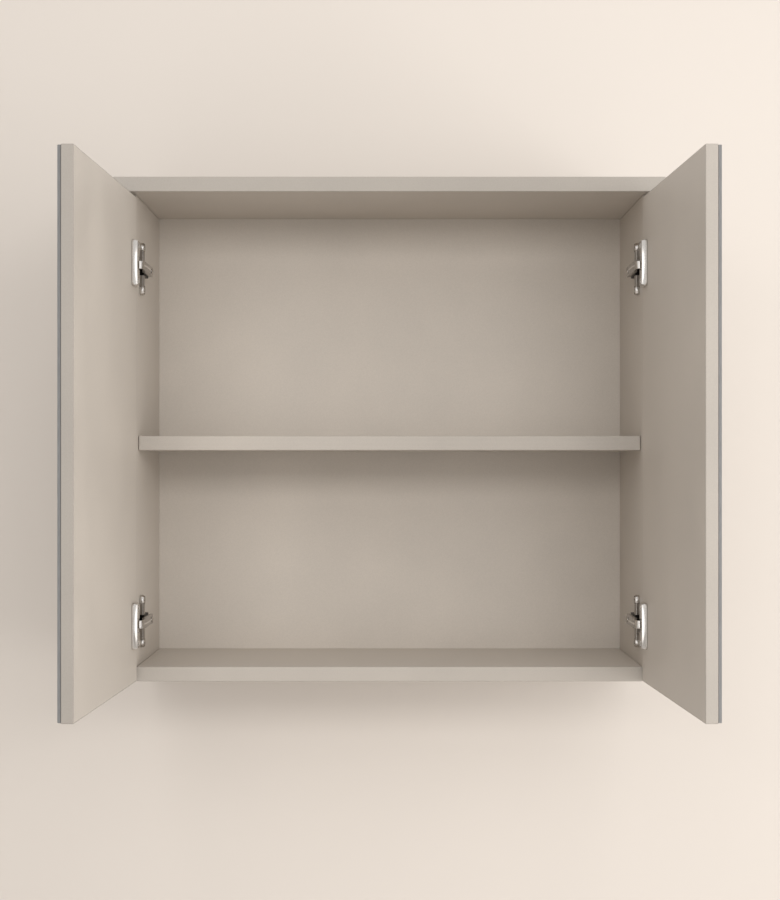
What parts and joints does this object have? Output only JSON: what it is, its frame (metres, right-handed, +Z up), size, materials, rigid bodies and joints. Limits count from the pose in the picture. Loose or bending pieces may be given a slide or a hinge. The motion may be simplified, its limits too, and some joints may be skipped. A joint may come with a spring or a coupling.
{
  "type": "mirror cabinet",
  "caption": "Wall-hung bathroom cabinet: an open laminated box with a shelf, closed by mirror doors on cup hinges and hung from a keyhole rail.",
  "frame": {"origin": "on the wall, at the middle of the hanging rail's rear face", "axes": "+X to the right of someone who faces the cabinet, +Y into the wall, +Z up; the doors open towards -Y"},
  "size_m": [0.606, 0.4948, 0.55],
  "materials": {
    "laminate": "matt greige melamine laminate on board, edges banded in the same colour",
    "mirror": "silvered float glass, edges ground",
    "nickel": "polished nickel plating on pressed and cast metal",
    "zinc": "zinc-plated sheet steel",
    "beech": "plain beech dowel"
  },
  "bodies": {
    "carcass": {"side_panel_left": "laminate", "side_panel_right": "laminate", "top_panel": "laminate", "bottom_panel": "laminate", "back_panel": "laminate", "shelf": "laminate", "hanging_rail": "laminate", "shelf_dowel_left_front": "beech", "shelf_dowel_left_rear": "beech", "hanger_plate_left": "zinc", "hanger_screw_left_upper": "zinc", "hanger_screw_left_lower": "zinc", "plate_screw_left_upper_upper": "nickel", "plate_screw_left_upper_lower": "nickel", "hinge_arm_left_upper": "nickel", "hinge_plate_left_upper": "nickel", "arm_screw_left_upper": "nickel", "plate_screw_left_lower_upper": "nickel", "plate_screw_left_lower_lower": "nickel", "hinge_arm_left_lower": "nickel", "hinge_plate_left_lower": "nickel", "arm_screw_left_lower": "nickel", "shelf_dowel_right_front": "beech", "shelf_dowel_right_rear": "beech", "hanger_plate_right": "zinc", "hanger_screw_right_upper": "zinc", "hanger_screw_right_lower": "zinc", "plate_screw_right_upper_upper": "nickel", "plate_screw_right_upper_lower": "nickel", "hinge_arm_right_upper": "nickel", "hinge_plate_right_upper": "nickel", "arm_screw_right_upper": "nickel", "plate_screw_right_lower_upper": "nickel", "plate_screw_right_lower_lower": "nickel", "hinge_arm_right_lower": "nickel", "hinge_plate_right_lower": "nickel", "arm_screw_right_lower": "nickel"},
    "left_door": {"door_board_left": "laminate", "door_mirror_left": "mirror", "hinge_cup_left_upper": "nickel", "pivot_pin_left_upper": "nickel", "cup_screw_left_upper_upper": "nickel", "cup_screw_left_upper_lower": "nickel", "hinge_cup_left_lower": "nickel", "pivot_pin_left_lower": "nickel", "cup_screw_left_lower_upper": "nickel", "cup_screw_left_lower_lower": "nickel"},
    "right_door": {"door_board_right": "laminate", "door_mirror_right": "mirror", "hinge_cup_right_upper": "nickel", "pivot_pin_right_upper": "nickel", "cup_screw_right_upper_upper": "nickel", "cup_screw_right_upper_lower": "nickel", "hinge_cup_right_lower": "nickel", "pivot_pin_right_lower": "nickel", "cup_screw_right_lower_upper": "nickel", "cup_screw_right_lower_lower": "nickel"}
  },
  "joints": [
    {"name": "left_door_swing", "type": "hinge", "parent": "carcass", "child": "left_door", "pos_m": [-0.28482, -0.2114, 0], "axis": [0, 0, 1], "range_deg": [-2.75, 92.25]},
    {"name": "right_door_swing", "type": "hinge", "parent": "carcass", "child": "right_door", "pos_m": [0.28482, -0.2114, 0], "axis": [0, 0, -1], "range_deg": [-2.75, 92.25]}
  ]
}
